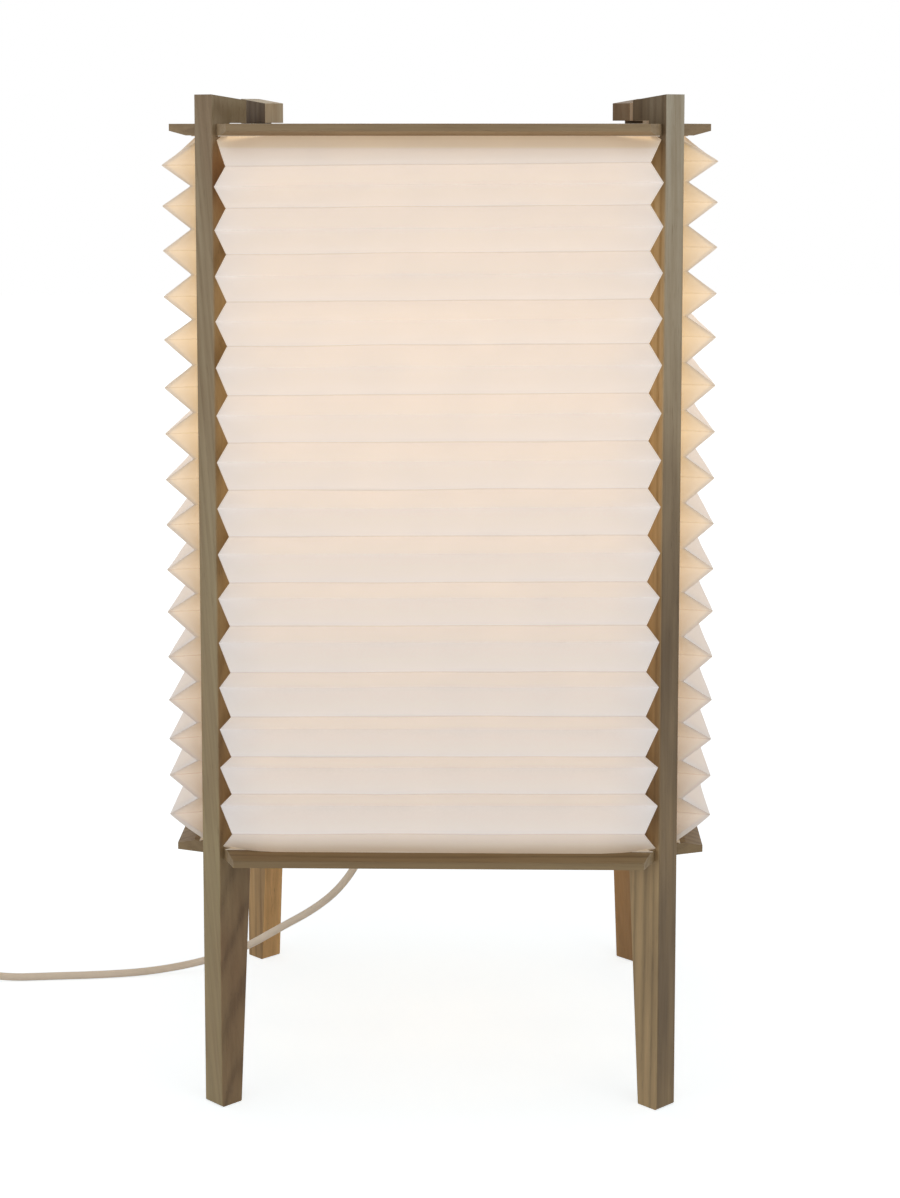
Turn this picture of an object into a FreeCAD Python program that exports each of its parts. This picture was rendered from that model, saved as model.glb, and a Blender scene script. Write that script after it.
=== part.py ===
"""Pleated paper table lamp: four boards on end carry two oak plates, and between the plates hangs
a square tube of paper folded into sixteen pleats. A lampholder on a stem stands inside it, and the
cord leaves under the lower plate for an in-line switch, a coil and a two-pin plug.

Millimetres, +Z up. The origin is on the floor, midway between the four boards. Each board stands in
the vertical plane through one corner of the plates, so boards are drawn once with X pointing out
along that diagonal and then turned to their corner.
"""
import FreeCAD, Part
import math
import os

Vector = FreeCAD.Vector
UP = Vector(0, 0, 1)

# ---- the four boards
post_above_plate = 19.5      # at the outer edge
post_top_fall = 3.8          # the top end slants down towards the lamp's axis
post_thickness = 19.0
post_outer_radius = 223.0    # from the lamp's axis to the narrow outer face
post_depth = 30.5            # outer face to inner face, above the lower plate
post_foot_depth = 18.2
taper_start_height = 215.0   # the inner face slants outwards below this
post_edge_radius = 1.2
foot_chamfer = 1.2

# ---- the two plates
lower_plate_underside = 177.3
upper_plate_top = 680.5
plate_thickness = 7.8
plate_rim_thickness = 4.7    # what the bevel leaves at the edge
plate_bevel_width = 12.0
plate_overhang = 15.5        # past the valleys of the paper
plate_opening_radius = 100.0
lap_depth = 15.0             # how far board and plate reach into each other
corner_setback = 4.0         # from the board's outer face to the plate's corner
lap_clearance = 0.1
notch_play_left = 0.5        # room above the plate in the notches of the left boards
notch_play_right = 2.2       # and of the right boards

# ---- the paper
pleat_count = 16
pleat_tighter_at_top = 2.9   # the sheet is drawn out most just above its middle
pleat_tighter_at_bottom = 5.6
first_ridge_drop = 17.6      # from the upper plate down to the first ridge
last_ridge_rise = 18.4       # from the lower plate up to the last one
pleat_depth = 21.0           # valleys to ridges
ridge_end_setback = 10.0     # how much shorter a ridge is than a valley, at each end
paper_past_post = 1.0        # the valleys' ends lie this far out beyond a board's outer face
paper_end_gap = 3.1          # and this far beside it
paper_thickness = 0.5
paper_to_post = 1.6          # where the corner folds pass round a board
ridge_tuck = 3.0             # how much further inwards the corner folds lie at a ridge
glue_flap = 7.0              # the ends turn inwards and are glued to the plates
flap_end_gap = 3.0           # each flap stops this short of the folds

# ---- bridge, stem and hub
bridge_landing = 18.0        # how far the bridge reaches past the plate's opening
bridge_width = 26.0
bridge_thickness = 2.5
bridge_screw_inset = 9.0     # from the bridge's end
bridge_screw_y = 7.5
wood_screw_radius = 1.5
wood_screw_length = 6.0
wood_screw_head_radius = 3.0
wood_screw_head_height = 2.0
screw_clearance = 0.1
stem_radius = 5.0
stem_bore = 3.7
stem_length = 208.0
thread_clearance = 0.05
washer_radius = 10.0
washer_thickness = 1.5
nut_across_flats = 14.0
nut_height = 4.0
hub_radius = 12.0
hub_height = 22.0
hub_socket_depth = 8.0       # how far the stem reaches into the hub
side_outlet_height = 9.0     # of the cord's axis above the hub's underside
side_outlet_radius = 4.3
outlet_direction = Vector(-0.76, 0.65, 0).normalize()
boot_length = 18.0
boot_root_radius = 6.4
boot_tip_radius = 4.3

# ---- lampholder and bulb
holder_radius = 20.0
holder_wall = 1.8
holder_cap_height = 24.0
holder_collar_radius = 8.0
holder_collar_height = 8.0
holder_shell_height = 36.0
insert_height = 8.0
screw_shell_wall = 0.7
screw_shell_height = 24.0
bulb_thread_radius = 13.2
bulb_to_shell = 0.35
bulb_cap_height = 24.0
bulb_cap_wall = 0.5
bulb_thread_pitch = 3.6
bulb_contact_height = 2.0
bulb_contact_gap = 0.3
bulb_collar_height = 16.0
bulb_radius = 30.0
bulb_wall = 1.0
bulb_length = 105.0
centre_contact_height = 1.6
terminal_radius = 1.6
core_radius = 1.1
core_spacing = 2.5
core_end_gap = 0.5           # below the terminal screws, so that the slanted ends just clear them

# ---- cord, coil, switch and plug
cord_radius = 3.0
cord_fit = 0.05              # between the cord and the pieces it enters
floor_clearance = 0.05
coil_centre = Vector(-463.0, 5.0, 0)
coil_outer_radius = 42.0     # of the cord's centre line
coil_turn_spacing = 6.6
coil_lower_turns = 2.5
coil_upper_turns = 2.25
switch_centre = Vector(-430.0, 82.0, 0)
switch_length = 68.0
switch_width = 26.0
switch_height = 17.0
switch_split = 8.5
switch_wall = 1.8
switch_boss_radius = 3.2
switch_screw_offset = 22.0
switch_screw_radius = 1.3
rocker_length = 21.0
rocker_width = 11.6
rocker_clearance = 1.1
rocker_rise = 4.6            # pivot to the crease of its top
rocker_drop = 3.2
rocker_tilt = 8.0            # degrees each way
rocker_pivot_depth = 3.0     # below the cover's top
rocker_pin_radius = 1.0
rocker_pin_clearance = 0.06
plug_tip_x = -372.0          # face that the pins stand on
plug_length = 33.0
plug_width = 35.0
plug_thickness = 13.6
plug_boot_length = 18.0
pin_radius = 2.0
pin_length = 19.0
pin_spacing = 19.0
pin_root_radius = 1.4        # the part moulded into the plug
pin_root_length = 6.0

# ---- what follows from these
post_height = upper_plate_top + post_above_plate
valley_end_radius = post_outer_radius + paper_past_post
valley_end_across = post_thickness / 2 + paper_end_gap
valley_half_width = (valley_end_radius + valley_end_across) / math.sqrt(2)
valley_half_length = (valley_end_radius - valley_end_across) / math.sqrt(2)
ridge_half_width = valley_half_width + pleat_depth
ridge_half_length = valley_half_length - ridge_end_setback
plate_half_width = valley_half_width + plate_overhang
plate_straight_half = ridge_half_length
bridge_length = 2 * (plate_opening_radius + bridge_landing)
bridge_screw_x = bridge_length / 2 - bridge_screw_inset
rocker_pivot_height = switch_height - rocker_pivot_depth
post_inner_radius = post_outer_radius - post_depth
lap_radius = post_inner_radius + lap_depth
corner_radius = post_outer_radius - corner_setback
lower_plate_top = lower_plate_underside + plate_thickness
upper_plate_underside = upper_plate_top - plate_thickness
bridge_top = lower_plate_top + bridge_thickness
hub_top = lower_plate_top - washer_thickness
hub_bottom = hub_top - hub_height
outlet_height = hub_bottom + side_outlet_height
stem_bottom = hub_top - hub_socket_depth
stem_top = stem_bottom + stem_length
holder_bottom = stem_top - holder_collar_height - nut_height
insert_bottom = holder_bottom + holder_cap_height
insert_top = insert_bottom + insert_height
screw_shell_bore = bulb_thread_radius + bulb_to_shell
bulb_tip = insert_top + centre_contact_height + bulb_contact_gap
bulb_cap_bottom = bulb_tip + bulb_contact_height
bulb_cap_top = bulb_cap_bottom + bulb_cap_height
bulb_collar_top = bulb_cap_top + bulb_collar_height
bulb_centre_height = bulb_tip + bulb_length - bulb_radius
cord_rest = cord_radius + floor_clearance
plug_axis = plug_thickness / 2
nodes = {}


def box(x0, x1, y0, y1, z0, z1):
    return Part.makeBox(x1 - x0, y1 - y0, z1 - z0, Vector(x0, y0, z0))


def rod(radius, start, end):
    axis = end - start
    return Part.makeCylinder(radius, axis.Length, start, axis)


def prism(points, direction):
    return Part.Face(Part.makePolygon(points + points[:1])).extrude(direction)


def turned(profile, centre=Vector(0, 0, 0)):
    """A solid of revolution about the vertical through centre, from (radius, height) points."""
    points = [centre + Vector(radius, 0, height) for radius, height in profile]
    face = Part.Face(Part.makePolygon(points + points[:1]))
    return face.revolve(centre, UP, 360)


def on_diagonal(shape, degrees):
    """Turns a shape drawn with X along the front right diagonal's direction to its corner."""
    shape.rotate(Vector(0, 0, 0), UP, degrees)
    return shape


def plate_point(radius, across):
    """The point of a diagonal's frame at this radius and distance across, on the +X +Y corner."""
    return Vector((radius + across) / math.sqrt(2), (radius - across) / math.sqrt(2), 0)


def four_corners(points):
    """Repeats the points of one side and corner round the lamp's four sides."""
    return [FreeCAD.Rotation(UP, 90 * side).multVec(p) for side in range(4) for p in points]


# ---- boards

def post(notch_play):
    inner, outer, half = post_inner_radius, post_outer_radius, post_thickness / 2
    foot_inner = outer - post_foot_depth
    outline = [
        Vector(foot_inner + foot_chamfer, -half, 0),
        Vector(outer - foot_chamfer, -half, 0),
        Vector(outer, -half, foot_chamfer),
        Vector(outer, -half, post_height),
        Vector(inner, -half, post_height - post_top_fall),
        Vector(inner, -half, taper_start_height),
        Vector(foot_inner, -half, foot_chamfer),
    ]
    board = prism(outline, Vector(0, post_thickness, 0))
    long_edges = [e for e in board.Edges if e.Length > taper_start_height / 2]
    board = board.makeFillet(post_edge_radius, long_edges)
    for underside in (lower_plate_underside, upper_plate_underside):
        notch_top = underside + plate_thickness + notch_play
        reach = lap_radius + lap_clearance
        board = board.cut(box(inner - 1, reach, -half - 1, half + 1, underside, notch_top))
    return board


for name, degrees, play in (
    ("post_rear_right", 45, notch_play_right),
    ("post_rear_left", 135, notch_play_left),
    ("post_front_left", 225, notch_play_left),
    ("post_front_right", 315, notch_play_right),
):
    nodes[name] = on_diagonal(post(play), degrees)


# ---- plates

def plate(underside, bevel_on_top):
    slot_half = post_thickness / 2 + lap_clearance
    right_side_and_corner = [
        Vector(plate_half_width, -plate_straight_half, 0),
        Vector(plate_half_width, plate_straight_half, 0),
        plate_point(corner_radius, slot_half),
        plate_point(lap_radius, slot_half),
        plate_point(lap_radius, -slot_half),
        plate_point(corner_radius, -slot_half),
    ]
    outline = [p + Vector(0, 0, underside) for p in four_corners(right_side_and_corner)]
    board = prism(outline, Vector(0, 0, plate_thickness))
    board = board.cut(Part.makeCylinder(plate_opening_radius, plate_thickness, Vector(0, 0, underside)))
    fall = plate_thickness - plate_rim_thickness
    face, rim = underside, underside + fall
    if bevel_on_top:
        face, rim = underside + plate_thickness, underside + plate_rim_thickness
    wedge_points = [
        Vector(plate_half_width - plate_bevel_width, -plate_half_width, face),
        Vector(plate_half_width + plate_bevel_width, -plate_half_width, 2 * rim - face),
        Vector(plate_half_width + plate_bevel_width, -plate_half_width, face),
    ]
    wedge = prism(wedge_points, Vector(0, 2 * plate_half_width, 0))
    for side in range(4):
        board = board.cut(on_diagonal(wedge.copy(), 90 * side))
    return board


nodes["top_plate"] = plate(upper_plate_underside, bevel_on_top=False)

screw_places = [
    Vector(x, y, 0)
    for x in (-bridge_screw_x, bridge_screw_x)
    for y in (-bridge_screw_y, bridge_screw_y)
]
bottom_plate = plate(lower_plate_underside, bevel_on_top=True)
for place in screw_places:
    pilot_top = place + Vector(0, 0, lower_plate_top)
    pilot_end = pilot_top - Vector(0, 0, wood_screw_length)
    bottom_plate = bottom_plate.cut(rod(wood_screw_radius + screw_clearance, pilot_top, pilot_end))
nodes["bottom_plate"] = bottom_plate


# ---- paper

def ridge_heights():
    """From the top down. The pitch is largest in the middle and eases off towards both ends."""
    steps = pleat_count - 1
    middle = (steps - 1) / 2
    slope = (pleat_tighter_at_top - pleat_tighter_at_bottom) / 2
    bend = (pleat_tighter_at_top + pleat_tighter_at_bottom) / 2
    places = [(step - middle) / middle for step in range(steps)]
    eased = [slope * along - bend * along**2 for along in places]
    top = upper_plate_underside - first_ridge_drop
    bottom = lower_plate_top + last_ridge_rise
    middle_pitch = (top - bottom - sum(eased)) / steps
    heights = [top]
    for ease in eased:
        heights.append(heights[-1] - middle_pitch - ease)
    print(f"pleats: pitch in the middle {middle_pitch:.2f} mm")
    return heights


def paper_ring(half_width, half_length, tuck, height):
    """One level of the paper: four straight panels, folded round the inner edge of each board."""
    across = post_thickness / 2 + paper_to_post
    fold = post_inner_radius - paper_to_post - tuck
    side_and_corner = [
        Vector(half_width, -half_length, 0),
        Vector(half_width, half_length, 0),
        plate_point(fold, across),
        plate_point(fold, -across),
    ]
    return [p + Vector(0, 0, height) for p in four_corners(side_and_corner)]


def inner_ring(ring):
    """The same level on the paper's inner side: each straight of the ring moved inwards."""
    count = len(ring)
    moved = []
    for i in range(count):
        before, here, after = ring[i - 1], ring[i], ring[(i + 1) % count]
        into = (here - before).normalize()
        out = (after - here).normalize()
        inwards = (UP.cross(into) + UP.cross(out)).normalize()
        moved.append(here + inwards * (paper_thickness / inwards.dot(UP.cross(into))))
    return moved


def paper_levels():
    ridges = ridge_heights()
    valley = (valley_half_width, valley_half_length, 0.0)
    ridge = (ridge_half_width, ridge_half_length, ridge_tuck)
    levels = [paper_ring(*valley, upper_plate_underside)]
    for above, below in zip(ridges, ridges[1:]):
        levels.append(paper_ring(*ridge, above))
        levels.append(paper_ring(*valley, (above + below) / 2))
    levels.append(paper_ring(*ridge, ridges[-1]))
    levels.append(paper_ring(*valley, lower_plate_top))
    return levels


def facets(upper, lower):
    """The facets between two rings: panels and back folds are flat, the rest are two triangles."""
    faces = []
    count = len(upper)
    for i in range(count):
        a, b = upper[i], upper[(i + 1) % count]
        c, d = lower[(i + 1) % count], lower[i]
        if i % 4 in (0, 2):
            corners = [[a, b, c, d]]
        elif (i % 4 == 1) == (abs(a.y) < abs(d.y) or abs(a.x) < abs(d.x)):
            corners = [[a, b, c], [a, c, d]]
        else:
            corners = [[a, b, d], [b, c, d]]
        faces += [Part.Face(Part.makePolygon(ring + ring[:1])) for ring in corners]
    return faces


def pleated_shade():
    outer = paper_levels()
    inner = [inner_ring(level) for level in outer]
    faces = []
    for rings in (outer, inner):
        for upper, lower in zip(rings, rings[1:]):
            faces += facets(upper, lower)
    count = len(outer[0])
    for end in (0, -1):
        for i in range(count):
            j = (i + 1) % count
            rim = [outer[end][i], outer[end][j], inner[end][j], inner[end][i]]
            faces.append(Part.Face(Part.makePolygon(rim + rim[:1])))
    shell = Part.makeShell(faces)
    shell.sewShape()
    return Part.makeSolid(Part.Shell(shell.Faces))


def glue_flaps(height, thickness):
    """The ends of the sheet, turned inwards and glued flat to a plate: one strip to each side."""
    outer = valley_half_width - paper_thickness
    end = valley_half_length - flap_end_gap
    strip = [
        Vector(outer - glue_flap, -end + glue_flap, height),
        Vector(outer, -end, height),
        Vector(outer, end, height),
        Vector(outer - glue_flap, end - glue_flap, height),
    ]
    flap = prism(strip, Vector(0, 0, thickness))
    return [on_diagonal(flap.copy(), 90 * side) for side in range(4)]


nodes["pleated_shade"] = pleated_shade()
nodes["shade_glue_flaps"] = Part.makeCompound(
    glue_flaps(upper_plate_underside - paper_thickness, paper_thickness)
    + glue_flaps(lower_plate_top, paper_thickness)
)


# ---- bridge, stem and hub

def hexagon(across_flats, bottom, height, bore):
    corner = across_flats / math.sqrt(3)
    points = [
        Vector(corner * math.cos(math.radians(60 * k)), corner * math.sin(math.radians(60 * k)), bottom)
        for k in range(6)
    ]
    nut = prism(points, Vector(0, 0, height))
    return nut.cut(Part.makeCylinder(bore, height, Vector(0, 0, bottom)))


def ring(outer, inner, bottom, height):
    washer = Part.makeCylinder(outer, height, Vector(0, 0, bottom))
    return washer.cut(Part.makeCylinder(inner, height, Vector(0, 0, bottom)))


bridge = box(
    -bridge_length / 2, bridge_length / 2, -bridge_width / 2, bridge_width / 2, lower_plate_top, bridge_top
)
stem_hole = Part.makeCylinder(stem_radius + screw_clearance, bridge_thickness, Vector(0, 0, lower_plate_top))
bridge = bridge.cut(stem_hole)
wood_screws = []
for place in screw_places:
    seat = place + Vector(0, 0, bridge_top)
    tip = place + Vector(0, 0, lower_plate_top - wood_screw_length + screw_clearance)
    bridge = bridge.cut(rod(wood_screw_radius + screw_clearance, tip, seat))
    head = Part.makeCone(wood_screw_head_radius, 0.7 * wood_screw_head_radius, wood_screw_head_height, seat)
    wood_screws.append(rod(wood_screw_radius, tip, seat).fuse(head))
nodes["lamp_bridge"] = bridge
nodes["bridge_screws"] = Part.makeCompound(wood_screws)

nodes["stem_tube"] = ring(stem_radius, stem_bore, stem_bottom, stem_length)
threaded_bore = stem_radius + thread_clearance
nodes["stem_nuts"] = Part.makeCompound([
    hexagon(nut_across_flats, bottom, nut_height, threaded_bore)
    for bottom in (bridge_top + washer_thickness, stem_top - nut_height)
])
nodes["stem_washers"] = Part.makeCompound([
    ring(washer_radius, stem_radius + screw_clearance, bottom, washer_thickness)
    for bottom in (bridge_top, hub_top)
])

outlet_start = Vector(0, 0, outlet_height)
hub_side = outlet_start + outlet_direction * hub_radius
hub = Part.makeCylinder(hub_radius, hub_height, Vector(0, 0, hub_bottom))
hub = hub.makeChamfer(1.0, [e for e in hub.Edges if abs(e.BoundBox.ZMax - hub_bottom) < 0.01])
hub = hub.cut(rod(threaded_bore, Vector(0, 0, stem_bottom), Vector(0, 0, hub_top)))
hub = hub.cut(rod(stem_bore, outlet_start - Vector(0, 0, stem_bore), Vector(0, 0, stem_bottom)))
hub = hub.cut(rod(side_outlet_radius, outlet_start, outlet_start + outlet_direction * 2 * hub_radius))
nodes["cord_hub"] = hub


def boot_shape(start, direction, length, root, tip, plug_in):
    """A tapered strain relief of soft ribs, with a barrel that sits in the housing's hole."""
    body = Part.makeCone(root, tip, length, start, direction)
    barrel = rod(side_outlet_radius - cord_fit, start - direction * plug_in, start)
    body = body.fuse(barrel)
    bore_start, bore_end = start - direction * plug_in, start + direction * length
    return body.cut(rod(cord_radius + cord_fit, bore_start, bore_end))


barrel_length = 6.0
flat_to_boot = 0.6           # the round hub's side falls away this far under the boot's root
boot_start = hub_side + outlet_direction * flat_to_boot
hub_boot = boot_shape(
    boot_start, outlet_direction, boot_length, boot_root_radius, boot_tip_radius, barrel_length)
hub_round = Part.makeCylinder(hub_radius + cord_fit, hub_height, Vector(0, 0, hub_bottom))
hub_round = hub_round.cut(rod(side_outlet_radius, outlet_start, boot_start))
nodes["cord_boot"] = hub_boot.cut(hub_round)


# ---- tubes that bend

def arc_between(start, corner, end):
    """The arc that leaves start towards corner and reaches end coming from corner."""
    middle = (start + end) / 2
    rise = corner - middle
    half_turn = math.atan2(rise.Length, (end - start).Length / 2)
    if half_turn < 1e-6:
        return Part.LineSegment(start, end)
    return Part.Arc(start, middle + rise * (math.tan(half_turn / 2) / math.tan(half_turn)), end)


def tube_path(points, label):
    """Straight runs joined by arcs as large as the runs allow. Prints the smallest radius."""
    edges, here, radii = [], points[0], []
    for before, corner, after in zip(points, points[1:], points[2:]):
        into, out = corner - before, after - corner
        half = into.getAngle(out) / 2
        setback = 0.45 * min(into.Length, out.Length)
        radii.append(setback / math.tan(half))
        start, end = corner - into.normalize() * setback, corner + out.normalize() * setback
        edges += [Part.LineSegment(here, start), arc_between(start, corner, end)]
        here = end
    edges.append(Part.LineSegment(here, points[-1]))
    wire = Part.Wire([e.toShape() for e in edges])
    print(f"{label}: length {wire.Length:.1f} mm, smallest radius {min(radii):.1f} mm")
    return wire


def swept(wire, radius, label):
    first = wire.OrderedEdges[0]
    start, direction = first.valueAt(first.FirstParameter), first.tangentAt(first.FirstParameter)
    section = Part.Wire(Part.makeCircle(radius, start, direction))
    tube = wire.makePipeShell([section], True, False)
    ratio = tube.Volume / (math.pi * radius**2 * wire.Length)
    print(f"{label}: volume over section times length {ratio:.4f}")
    return tube


# ---- wires up the stem

core_start = cord_end_in_hub = stem_bore + 1.0
cores = []
for side in (-0.5, 0.5):
    offset = UP.cross(outlet_direction) * core_spacing * side
    route = [
        outlet_start + outlet_direction * core_start + offset,
        outlet_start + offset,
        Vector(0, 0, stem_top) + offset,
        Vector(0, 0, insert_bottom - core_end_gap) + offset.normalize() * (terminal_radius + 4.0),
    ]
    cores.append(swept(tube_path(route, "core"), core_radius, "core"))
nodes["core_wires"] = Part.makeCompound(cores)


# ---- lampholder

cap_inner = holder_radius - holder_wall
collar_top = holder_bottom + holder_collar_height
nodes["holder_cap"] = turned([
    (threaded_bore, holder_bottom), (holder_collar_radius, holder_bottom),
    (holder_collar_radius, collar_top - 2), (holder_radius, insert_bottom - 9),
    (holder_radius, insert_bottom), (cap_inner, insert_bottom),
    (cap_inner, insert_bottom - 8.2), (holder_collar_radius + 1.2, collar_top),
    (threaded_bore, collar_top),
])
insert_radius = cap_inner - 0.4
terminal_places = [UP.cross(outlet_direction) * (side * (terminal_radius + 4.0)) for side in (-1, 1)]
insert = Part.makeCylinder(insert_radius + 1.0, 1.2, Vector(0, 0, insert_bottom)).fuse(
    Part.makeCylinder(insert_radius, insert_height, Vector(0, 0, insert_bottom)))
terminal_screws = []
for place in terminal_places:
    low, high = place + Vector(0, 0, insert_bottom), place + Vector(0, 0, insert_top)
    insert = insert.cut(rod(terminal_radius + screw_clearance, low, high))
    terminal_screws.append(rod(terminal_radius, low, high - Vector(0, 0, 2.0)))
nodes["holder_insert"] = insert
nodes["terminal_screws"] = Part.makeCompound(terminal_screws)
nodes["holder_screw_shell"] = ring(
    screw_shell_bore + screw_shell_wall, screw_shell_bore, insert_top, screw_shell_height)
nodes["centre_contact"] = Part.makeCylinder(2.6, centre_contact_height, Vector(0, 0, insert_top))
shell_top = insert_bottom + holder_shell_height
flange_top = insert_bottom + 1.2
nodes["holder_shell"] = turned([
    (insert_radius + 0.2, flange_top), (holder_radius, flange_top), (holder_radius, shell_top - 1.5),
    (holder_radius - 1.5, shell_top), (screw_shell_bore + 1.5, shell_top),
    (screw_shell_bore + 1.5, shell_top - 2), (insert_radius + 0.2, shell_top - 3),
])


# ---- bulb

def bulb_cap():
    """A screw cap: its crests are drawn as rings one thread pitch apart."""
    root = bulb_thread_radius - 0.9
    profile = [(root, bulb_cap_bottom + 1)]
    crest = bulb_cap_bottom + 3.2
    while crest + bulb_thread_pitch / 2 < bulb_cap_top - 3:
        profile += [
            (root, crest - bulb_thread_pitch / 3), (bulb_thread_radius, crest - 0.5),
            (bulb_thread_radius, crest + 0.5), (root, crest + bulb_thread_pitch / 3),
        ]
        crest += bulb_thread_pitch
    profile += [(root, bulb_cap_top), (root - bulb_cap_wall, bulb_cap_top),
                (root - bulb_cap_wall, bulb_cap_bottom + 1)]
    return turned(profile)


cap_root = bulb_thread_radius - 0.9
nodes["bulb_cap"] = bulb_cap()
nodes["bulb_insulator"] = turned([
    (3.5, bulb_cap_bottom), (9.0, bulb_cap_bottom), (cap_root - 0.5, bulb_cap_bottom + 1),
    (cap_root - 0.5, bulb_cap_bottom + 2.2), (3.5, bulb_cap_bottom + 2.2),
])
nodes["bulb_contact"] = turned([
    (0, bulb_tip), (2.6, bulb_tip), (4.6, bulb_cap_bottom - 0.05), (3.45, bulb_cap_bottom - 0.05),
    (3.45, bulb_cap_bottom + 1.5), (0, bulb_cap_bottom + 1.5),
])
collar_radius = 17.0
nodes["bulb_collar"] = turned([
    (cap_root - 2.5, bulb_cap_top), (cap_root + 0.6, bulb_cap_top), (collar_radius, bulb_collar_top - 3),
    (collar_radius, bulb_collar_top), (collar_radius - 2, bulb_collar_top),
    (collar_radius - 2, bulb_collar_top - 3), (cap_root - 2.5, bulb_cap_top + 3),
])


def globe_solid(inset):
    """A ball on a waist that narrows down to the collar."""
    centre = Vector(0, 0, bulb_centre_height)
    radius = bulb_radius - inset
    join_angle = math.radians(-42)
    waist_height = centre.z + radius * math.sin(join_angle) - bulb_collar_top
    waist = Part.makeCone(
        collar_radius - inset, radius * math.cos(join_angle), waist_height, Vector(0, 0, bulb_collar_top))
    return Part.makeSphere(radius, centre).fuse(waist)


def globe():
    return globe_solid(0.0).cut(globe_solid(bulb_wall))


nodes["bulb_globe"] = globe()
board_clearance = 0.2
nodes["led_board"] = turned([
    (0, bulb_collar_top - 3), (collar_radius - 2 - board_clearance, bulb_collar_top - 3),
    (collar_radius - 2 - board_clearance, bulb_collar_top - 1.4), (0, bulb_collar_top - 1.4),
])
driver_half = 7.0
nodes["driver_board"] = box(
    -driver_half, driver_half, -0.8, 0.8, bulb_cap_bottom + 3, bulb_collar_top - 3)


# ---- cord on its way to the switch

boot_end = boot_start + outlet_direction * boot_length
switch_right = switch_centre.x + switch_length / 2
switch_left = switch_centre.x - switch_length / 2
cord_in_switch = 12.0
supply_route = [
    outlet_start + outlet_direction * cord_end_in_hub,
    outlet_start + outlet_direction * 46.0,
    Vector(-54.5, 40.5, 147.0),
    Vector(-66.0, 47.5, 113.0),
    Vector(-83.0, 58.5, 85.5),
    Vector(-105.0, 73.5, 63.5),
    Vector(-133.0, 92.5, 42.5),
    Vector(-163.0, 107.0, 20.5),
    Vector(-200.0, 112.0, 6.5),
    Vector(-238.0, 100.0, cord_rest),
    Vector(-277.0, 91.5, cord_rest),
    Vector(-317.0, 87.5, cord_rest),
    Vector(-352.0, 83.5, cord_rest),
    Vector(-378.0, switch_centre.y, switch_split),
    Vector(switch_right - cord_in_switch, switch_centre.y, switch_split),
]
supply_wire = tube_path(supply_route, "supply cord")
nodes["supply_cord"] = swept(supply_wire, cord_radius, "supply cord")


# ---- coil

def coil_point(turn):
    """Centre line of the coil: inwards below, up and back in half a turn, outwards above."""
    climb_end = coil_lower_turns + 0.5
    inner = coil_outer_radius - coil_turn_spacing * coil_lower_turns
    if turn < coil_lower_turns:
        radius, lift = coil_outer_radius - coil_turn_spacing * turn, 0.0
    elif turn < climb_end:
        part = (turn - coil_lower_turns) / 0.5
        radius = inner - coil_turn_spacing / 2 * part * (1 - part)
        lift = part**2 * (3 - 2 * part)
    else:
        radius, lift = inner + coil_turn_spacing * (turn - climb_end), 1.0
    angle = math.pi + 2 * math.pi * turn
    along = Vector(radius * math.cos(angle), radius * math.sin(angle), cord_rest + lift * coil_turn_spacing)
    return coil_centre + along


def coil_tangent(turn):
    step = 1e-4
    return (coil_point(turn + step) - coil_point(turn - step)).normalize()


def biarc(start, leaving, end, arriving):
    """Two arcs, smooth where they meet, from start to end with the directions given."""
    gap, both = end - start, leaving + arriving
    spread = 2 * (1 - leaving.dot(arriving))
    reach = (-gap.dot(both) + math.sqrt(gap.dot(both) ** 2 + spread * gap.dot(gap))) / spread
    first, last = start + leaving * reach, end - arriving * reach
    meeting = (first + last) / 2
    return [arc_between(start, first, meeting), arc_between(meeting, last, end)]


def coil_wire():
    turns = coil_lower_turns + 0.5 + coil_upper_turns
    quarters = [k / 4 for k in range(int(round(turns * 4)) + 1)]
    straight = 2 * cord_radius
    level = [Vector(t.x, t.y, 0).normalize() for t in (coil_tangent(0), coil_tangent(turns))]
    edges = [Part.LineSegment(coil_point(0) - level[0] * straight, coil_point(0))]
    directions = [level[0]] + [coil_tangent(q) for q in quarters[1:-1]] + [level[1]]
    for here, there, leaving, arriving in zip(quarters, quarters[1:], directions, directions[1:]):
        edges += biarc(coil_point(here), leaving, coil_point(there), arriving)
    edges.append(Part.LineSegment(coil_point(turns), coil_point(turns) + level[1] * straight))
    return Part.Wire([e.toShape() for e in edges])


def least_gap(wire, radius):
    """The least gap between turns, on points a millimetre apart and over three diameters along."""
    points = wire.discretize(Distance=2.0)
    skip = int(6 * radius / 2.0) + 1
    least = min(
        (points[i] - points[j]).Length
        for i in range(len(points))
        for j in range(i + skip, len(points))
    )
    return least - 2 * radius


coil = coil_wire()
print(f"coil: length {coil.Length:.1f} mm, least gap to itself {least_gap(coil, cord_radius):.2f} mm")
nodes["cord_coil"] = swept(coil, cord_radius, "coil")
coil_start, coil_end = coil.OrderedVertexes[0].Point, coil.OrderedVertexes[-1].Point
coil_entry = (coil.OrderedVertexes[1].Point - coil_start).normalize()
coil_exit = (coil_end - coil.OrderedVertexes[-2].Point).normalize()

link_route = [
    Vector(switch_left + cord_in_switch, switch_centre.y, switch_split),
    Vector(-479.4, switch_centre.y, switch_split),
    Vector(-495.6, 72.6, 5.2),
    Vector(-504.4, 56.4, cord_rest),
    coil_start - coil_entry * 22.0,
    coil_start,
]
link_wire = tube_path(link_route, "link cord")
nodes["link_cord"] = swept(link_wire, cord_radius, "link cord")

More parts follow.
